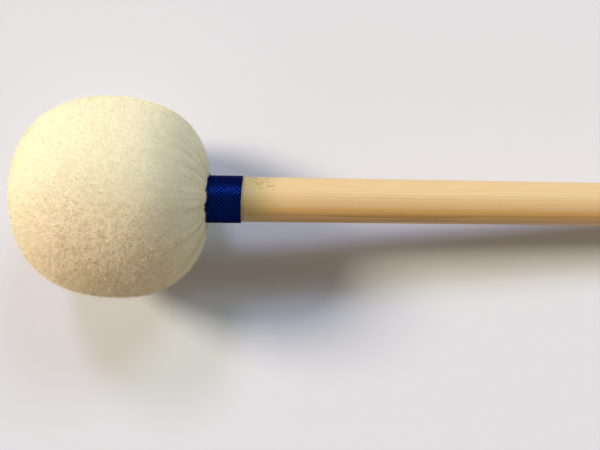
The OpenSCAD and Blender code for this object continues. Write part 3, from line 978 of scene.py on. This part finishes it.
class MALLET_OT_felt(bpy.types.Operator):
    """Winds the two felt strips on the core and cuts its two felt pads"""

    bl_idname = "mallet.felt"
    bl_label = "Felt Strips and Pads"

    def execute(self, context):
        look = context.scene.mallet_head
        firm = felted("felt_firm", dimmed(look.felt, 0.9), dimmed(look.felt, 0.6), 0.0016, 0.0002, 0.1)
        soft = felted("felt_soft", tuple(look.felt), dimmed(look.felt, 0.7), 0.002, 0.0003, 0.2)
        self.strip(look, "firm_felt_strip", FIRM_STRIP, firm, "felt_firm", "felt_wrap_inner")
        self.strip(look, "soft_felt_strip", SOFT_STRIP, soft, "felt_soft", "felt_wrap_outer")
        self.pad(look, "front_felt_pad", firm, 0.0, -CORE_HALF, "felt_front_pad")
        self.pad(look, "rear_felt_collar", firm, SHAFT_R + GLUE, CORE_HALF, "felt_rear_collar")
        return {"FINISHED"}

    @staticmethod
    def dome(look, radius, side):
        """Where the felt ball's surface lies at a radius, before or behind the widest section."""
        reach, fullness = (-FELT_NOSE, look.nose_fullness) if side < 0 else (FELT_BACK, look.back_fullness)
        return reach * max(0.0, 1 - (radius / FELT_R) ** fullness) ** (1 / fullness)

    def strip(self, look, name, size, material, slot, stands_for):
        """A felt strip that winds outwards, skived thin at both ends and trimmed to the dome."""
        inner, outer, turns = size
        skive, gap, steps = 0.0004, 0.00012, 60
        pitch = (outer - inner) / turns
        wound = (outer - inner - 2 * skive) / pitch

        def section(turn):
            low = max(inner, inner + skive + pitch * (turn - 1))
            high = min(outer, inner + skive + pitch * turn) - gap
            high = max(high, low + 0.0002)
            angle = TURN * turn
            low_in, low_out = self.dome(look, low, -1), self.dome(look, high, -1)
            high_in, high_out = self.dome(look, low, 1), self.dome(look, high, 1)
            middle = [low_out + (high_out - low_out) * k / 8 for k in range(1, 8)]
            back = [high_in + (low_in - high_in) * k / 8 for k in range(1, 8)]
            soften = min(0.0008, 0.3 * (high - low))
            loop = [(low + soften, low_in), (high - soften, low_out), (high, low_out + soften)]
            loop += [(high, s) for s in middle]
            loop += [(high, high_out - soften), (high - soften, high_out)]
            loop += [(low + soften, high_in), (low, high_in - soften)]
            loop += [(low, s) for s in back]
            loop += [(low, low_in + soften)]
            return [at(r, angle, s) for r, s in loop]

        count = int((wound + 1) * steps)
        bm = bmesh.new()
        swept(bm, (section(i / steps) for i in range(1, count)))
        piece = new_piece(name, bm)
        finish_piece(piece, slot, material, stands_for)

    def pad(self, look, name, material, bore, face, stands_for):
        """A domed felt pad on one end of the core."""
        side = -1 if face < 0 else 1
        edge = 0.0006
        dome = [bore + (CORE_R - bore) * i / 16 for i in range(17)]
        dome = [(radius, self.dome(look, radius, side)) for radius in dome]
        rim = dome[-1][1]
        dome[-1] = (CORE_R - edge, self.dome(look, CORE_R - edge, side))
        line = dome + [(CORE_R, rim - side * edge), (CORE_R, face + side * edge), (CORE_R - edge, face),
                       (bore, face)]
        if bore:
            line.append(line[0])
        bm = bmesh.new()
        turned(bm, line, 96)
        tidy(bm)
        piece = new_piece(name, bm)
        finish_piece(piece, "felt_firm", material, stands_for)


class MALLET_OT_fleece(bpy.types.Operator):
    """Makes the gathered fleece cover and sows its nap"""

    bl_idname = "mallet.fleece"
    bl_label = "Fleece Ball"

    def execute(self, context):
        look = context.scene.mallet_head
        skin = make_cover(look)
        shaded = [0.35 * clean + 0.65 * dark for clean, dark in zip(look.colour, look.shade)]
        # The tan hairs carry painted warm shade, and the dark hairs painted shadow
        shades = {"pale": look.colour, "cream": dimmed(look.colour, 0.93), "painted_warm_shade": look.painted_warm_shade, "shade": shaded}
        hairs = make_hairs(look,
                           [hair_material(f"fleece_hair_{name}", tone) for name, tone in shades.items()])
        tree = nap_nodes()
        density = look.nap_hairs / FLEECE_AREA
        labels = ("Density", "Lean", "Shortest", "Longest", "Fineness", "Seed")
        layers = {"nap_under": (density, 0.7, 0.5, 0.85, 1.0, 3),
                  "nap_body": (density, 0.9, 0.6, 1.0, 1.0, 11),
                  "nap_middle": (density, 1.0, 0.6, 1.1, 1.0, 23),
                  "nap_top": (density, 1.1, 0.7, 1.2, 1.0, 29),
                  "nap_wisps": (density * 0.12, 1.8, 1.3, 2.2, 0.5, 47)}
        for name, values in layers.items():
            layer = sow(skin, tree, name, {"Hairs": hairs, **dict(zip(labels, values))})
            finish_piece(layer, "fleece", None)
        finish_piece(skin, "fleece", fleece_skin(look), "fleece_cover")
        return {"FINISHED"}


class MALLET_OT_binding(bpy.types.Operator):
    """Winds the thread on the hem and the satin ribbon over it"""

    bl_idname = "mallet.binding"
    bl_label = "Thread and Ribbon"

    def execute(self, context):
        look = context.scene.mallet_binding
        self.thread(look)
        self.ribbon(look)
        return {"FINISHED"}

    @staticmethod
    def thread(look):
        """One unbroken thread of three plies."""
        steps, sides = 32, 9
        reach = look.thread_width / 2

        def section(i):
            angle = TURN * i / steps
            out = Vector((math.cos(angle), math.sin(angle), 0))
            centre = out * THREAD_R + Vector((0, 0, THREAD_START + look.thread_step * i / steps))
            up = Vector((0, 0, 1))
            points = []
            for j in range(sides):
                turn = TURN * j / sides
                bulge = reach * (0.9 + 0.1 * math.cos(3 * turn + 1.3 * i))
                points.append(centre + out * (bulge * math.cos(turn)) + up * (bulge * math.sin(turn)))
            return points

        bm = bmesh.new()
        swept(bm, (section(i) for i in range(look.thread_turns * steps + 1)))
        finish_piece(new_piece("binding_thread", bm), "thread", waxed_thread(look), "neck_thread")

    @staticmethod
    def ribbon(look):
        """The ribbon: a strip rolled up layer on layer, its outer edge slanting and a little uneven."""
        turn_steps, across = 120, 40
        rows = round(look.ribbon_turns * turn_steps)
        bm = bmesh.new()
        bm.loops.layers.uv.new("Weave")
        bmesh.ops.create_grid(bm, x_segments=rows, y_segments=across, size=0.5, calc_uvs=True)
        length = TURN * (RIBBON_INNER + look.ribbon_step * look.ribbon_turns / 2) * look.ribbon_turns
        weave = bm.loops.layers.uv["Weave"]
        for face in bm.faces:
            for corner in face.loops:
                corner[weave].uv = (corner[weave].uv.x * length / MM,
                                    corner[weave].uv.y * look.ribbon_width / MM)
        for vert in bm.verts:
            along, over = vert.co.x + 0.5, vert.co.y + 0.5
            angle = TURN * look.ribbon_turns * along
            layer = RIBBON_INNER + look.ribbon_step * look.ribbon_turns * along
            side = math.sin(angle)
            uneven = 0.00012 * noise.noise(Vector((3 * math.cos(angle), 3 * side, along * 2)))
            slant = math.tan(look.ribbon_slant) * (0.35 * side + 0.5 * side * side)
            edge = RIBBON_END + layer * slant + uneven
            s = RIBBON_START + (edge - RIBBON_START) * over
            ripple = 0.00003 * noise.noise(Vector((angle * 2.0, over * 6, 1.7)))
            vert.co = at(layer + look.ribbon_thickness + ripple, angle, s)
        bm.normal_update()
        test = next(iter(bm.faces))
        centre = test.calc_center_median()
        if test.normal.dot(Vector((centre.x, centre.y, 0))) < 0:
            bmesh.ops.reverse_faces(bm, faces=bm.faces)
        bmesh.ops.solidify(bm, geom=bm.faces[:], thickness=look.ribbon_thickness)
        bmesh.ops.recalc_face_normals(bm, faces=bm.faces)
        piece = new_piece("satin_ribbon", bm)
        finish_piece(piece, "ribbon_satin", satin(look), "neck_ribbon")


class MALLET_OT_stage(bpy.types.Operator):
    """Lays the pale floor and sets the lights and the camera"""

    bl_idname = "mallet.stage"
    bl_label = "Floor, Lights and Camera"

    def execute(self, context):
        look = context.scene.mallet_stage
        self.floor(look)
        self.room(context.scene, look)
        self.lamp("key_light", look.key, (-1.13, 0.5, 0.95), 17, (1.0, 0.92, 0.71))
        self.lamp("fill_light", look.fill, (0.55, 0.9, 0.95), 16, (0.54, 0.86, 1.0))
        self.lamp("top_light", look.top, (-0.17, 0.95, 0.95), 12, (0.72, 0.72, 1.0))
        camera = bpy.data.cameras.new("camera")
        camera.lens = look.lens
        camera.sensor_width = 36
        camera.clip_start = 0.01
        eye = placed("camera", camera)
        eye.location = (*EYE, look.camera_height)
        eye.rotation_euler = (0, 0, EYE_TURN)
        context.scene.camera = eye
        return {"FINISHED"}

    @staticmethod
    def floor(look):
        """A wide, plain sheet of pale paper."""
        bm = bmesh.new()
        bmesh.ops.create_grid(bm, x_segments=8, y_segments=8, size=3)
        floor = placed("floor", meshed("floor", bm))
        material, tree, shader = new_material("floor_paper")
        tone = times(tree, noisy(tree, here(tree), 3, 2), 0.3)
        fill(tree, shader, Base_Color=mixed(tree, tone, look.floor, dimmed(look.floor, 0.96)), Roughness=0.9,
             Specular_IOR_Level=0.1)
        floor.data.materials.append(material)

    @staticmethod
    def room(scene, look):
        """Even light all round, and a pale backdrop for what sees the world directly."""
        world = bpy.data.worlds.new("room")
        world.use_nodes = True
        tree = world.node_tree
        background = tree.nodes["Background"]
        path = put(tree, "ShaderNodeLightPath").outputs
        seen = maths(tree, "MAXIMUM", path["Is Camera Ray"],
                     maths(tree, "MAXIMUM", path["Is Glossy Ray"], path["Is Transmission Ray"]))
        colour = mixed(tree, seen, (1.0, 0.87, 0.66), (0.86, 0.87, 0.9))
        strength = put(tree, "ShaderNodeMapRange",
                       {"Value": seen, "To Min": look.room, "To Max": 0.85}).outputs[0]
        feed(tree, background, {"Color": colour, "Strength": strength})
        scene.world = world
        scene.view_settings.view_transform = "Standard"

    @staticmethod
    def lamp(name, strength, place, softness, colour):
        """A wide, even lamp, its softness in degrees, that shines from the side on which it is placed."""
        light = bpy.data.lights.new(name, "SUN")
        light.energy = strength
        light.angle = math.radians(softness)
        light.color = colour
        lamp = placed(name, light)
        lamp.location = place
        lamp.rotation_euler = Vector(place).to_track_quat("Z", "Y").to_euler()


class MALLET_PT_sidebar(bpy.types.Panel):
    """Lists the mallet's pieces in the order in which they are made"""

    bl_idname = "MALLET_PT_sidebar"
    bl_label = "Bass Drum Mallet"
    bl_space_type = "VIEW_3D"
    bl_region_type = "UI"
    bl_category = "Mallet"

    def draw(self, context):
        for operator in OPERATORS:
            self.layout.operator(operator.bl_idname)


LOOKS = {"mallet_head": HeadLook, "mallet_binding": BindingLook, "mallet_wood": WoodLook,
         "mallet_stage": StageLook}
OPERATORS = (MALLET_OT_wood, MALLET_OT_felt, MALLET_OT_fleece, MALLET_OT_binding, MALLET_OT_stage)


def register():
    for made in (*LOOKS.values(), *OPERATORS, MALLET_PT_sidebar):
        bpy.utils.register_class(made)
    for name, made in LOOKS.items():
        setattr(bpy.types.Scene, name, PointerProperty(type=made))


def unregister():
    for name in LOOKS:
        delattr(bpy.types.Scene, name)
    for made in reversed((*LOOKS.values(), *OPERATORS, MALLET_PT_sidebar)):
        bpy.utils.unregister_class(made)


def main():
    register()
    bpy.ops.mallet.wood()
    bpy.ops.mallet.felt()
    bpy.ops.mallet.fleece()
    bpy.ops.mallet.binding()
    bpy.ops.mallet.stage()


if __name__ == "__main__":
    main()
